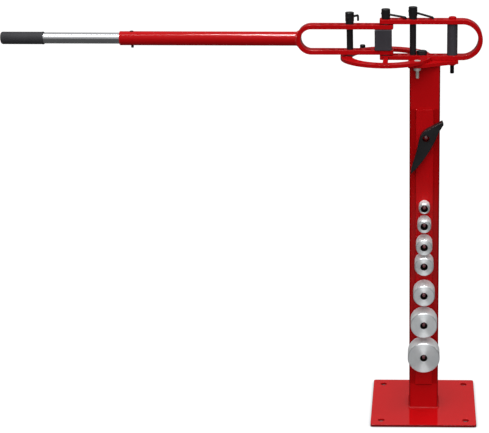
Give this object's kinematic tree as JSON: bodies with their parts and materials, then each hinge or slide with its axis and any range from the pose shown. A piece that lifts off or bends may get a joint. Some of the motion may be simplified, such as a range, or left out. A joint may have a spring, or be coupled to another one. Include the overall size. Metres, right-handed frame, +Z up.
{
  "type": "manual pipe bending machine",
  "caption": "Floor-standing manual pipe and bar bender: square post on a base plate, U-shaped frame with a swinging forked lever, lift-out pins, guide ring and stored round dies.",
  "frame": {"origin": "on the floor, under the axis of the square post, centre of the base plate's underside", "axes": "+Z up, +X to the viewer's right, away from the lever; -Y towards the viewer, the side with the dies"},
  "size_m": [1.098, 0.254, 0.9885],
  "materials": {
    "red_paint": "glossy red paint",
    "black_steel": "black oxide",
    "zinc_steel": "bright zinc",
    "turned_steel": "turned and plated",
    "bright_tube": "bright plated",
    "black_rubber": "matte rubber"
  },
  "bodies": {
    "stand": {"base_plate": "red_paint", "post_tube": "red_paint", "foot_weld": "red_paint", "holder_strip": "red_paint", "die_pegs": "red_paint", "wedge_peg": "red_paint", "top_plate": "red_paint", "frame_bar": "red_paint", "guide_ring": "red_paint", "ring_bolts": "zinc_steel", "ring_nuts": "zinc_steel", "pivot_washers": "zinc_steel", "spacer_tube": "black_steel", "spacer_bolt": "black_steel", "spacer_nut": "black_steel", "frame_bolt": "black_steel"},
    "handle": {"fork_bar": "red_paint", "handle_tube": "red_paint", "lock_pin": "black_steel"},
    "extension": {"inner_tube": "bright_tube", "hand_grip": "black_rubber"},
    "pivot_pin_body": {"pivot_pin": "black_steel", "pivot_pin_hook": "black_steel"},
    "frame_pin_body": {"frame_pin": "black_steel", "frame_pin_hook": "black_steel"},
    "fork_pin_body": {"fork_pin": "black_steel", "fork_pin_hook": "black_steel"},
    "block_body": {"spin_block": "black_steel"},
    "stop_pin_body": {"stop_pin": "black_steel"},
    "die_76_body": {"die_76": "turned_steel"},
    "die_64_body": {"die_64": "turned_steel"},
    "die_51_body": {"die_51": "turned_steel"},
    "die_44_body": {"die_44": "turned_steel"},
    "die_38_body": {"die_38": "turned_steel"},
    "die_32_body": {"die_32": "turned_steel"},
    "die_25_body": {"die_25": "turned_steel"},
    "wedge_body": {"wedge_blade": "black_steel"}
  },
  "joints": [
    {"name": "handle_swing", "type": "hinge", "parent": "stand", "child": "handle", "pos_m": [-0.089, 0, 0.915], "axis": [0, 0, 1], "range_deg": [-37, 150]},
    {"name": "handle_extend", "type": "slide", "parent": "handle", "child": "extension", "axis": [-1, 0, 0], "range_m": [0, 0.1]},
    {"name": "pivot_pin_lift", "type": "slide", "parent": "stand", "child": "pivot_pin_body", "axis": [0, 0, 1], "range_m": [0, 0.12]},
    {"name": "frame_pin_lift", "type": "slide", "parent": "stand", "child": "frame_pin_body", "axis": [0, 0, 1], "range_m": [0, 0.12]},
    {"name": "fork_pin_lift", "type": "slide", "parent": "handle", "child": "fork_pin_body", "axis": [0, 0, 1], "range_m": [0, 0.1]},
    {"name": "block_spin", "type": "hinge", "parent": "handle", "child": "block_body", "pos_m": [-0.089, 0, 0.915], "axis": [0, 0, 1], "continuous": true},
    {"name": "stop_pin_lift", "type": "slide", "parent": "stand", "child": "stop_pin_body", "axis": [0, 0, 1], "range_m": [0, 0.03]},
    {"name": "die_76_off", "type": "slide", "parent": "stand", "child": "die_76_body", "axis": [0, -1, 0], "range_m": [0, 0.06]},
    {"name": "die_64_off", "type": "slide", "parent": "stand", "child": "die_64_body", "axis": [0, -1, 0], "range_m": [0, 0.06]},
    {"name": "die_51_off", "type": "slide", "parent": "stand", "child": "die_51_body", "axis": [0, -1, 0], "range_m": [0, 0.06]},
    {"name": "die_44_off", "type": "slide", "parent": "stand", "child": "die_44_body", "axis": [0, -1, 0], "range_m": [0, 0.06]},
    {"name": "die_38_off", "type": "slide", "parent": "stand", "child": "die_38_body", "axis": [0, -1, 0], "range_m": [0, 0.06]},
    {"name": "die_32_off", "type": "slide", "parent": "stand", "child": "die_32_body", "axis": [0, -1, 0], "range_m": [0, 0.06]},
    {"name": "die_25_off", "type": "slide", "parent": "stand", "child": "die_25_body", "axis": [0, -1, 0], "range_m": [0, 0.06]},
    {"name": "wedge_off", "type": "slide", "parent": "stand", "child": "wedge_body", "axis": [0, -1, 0], "range_m": [0, 0.04]}
  ]
}
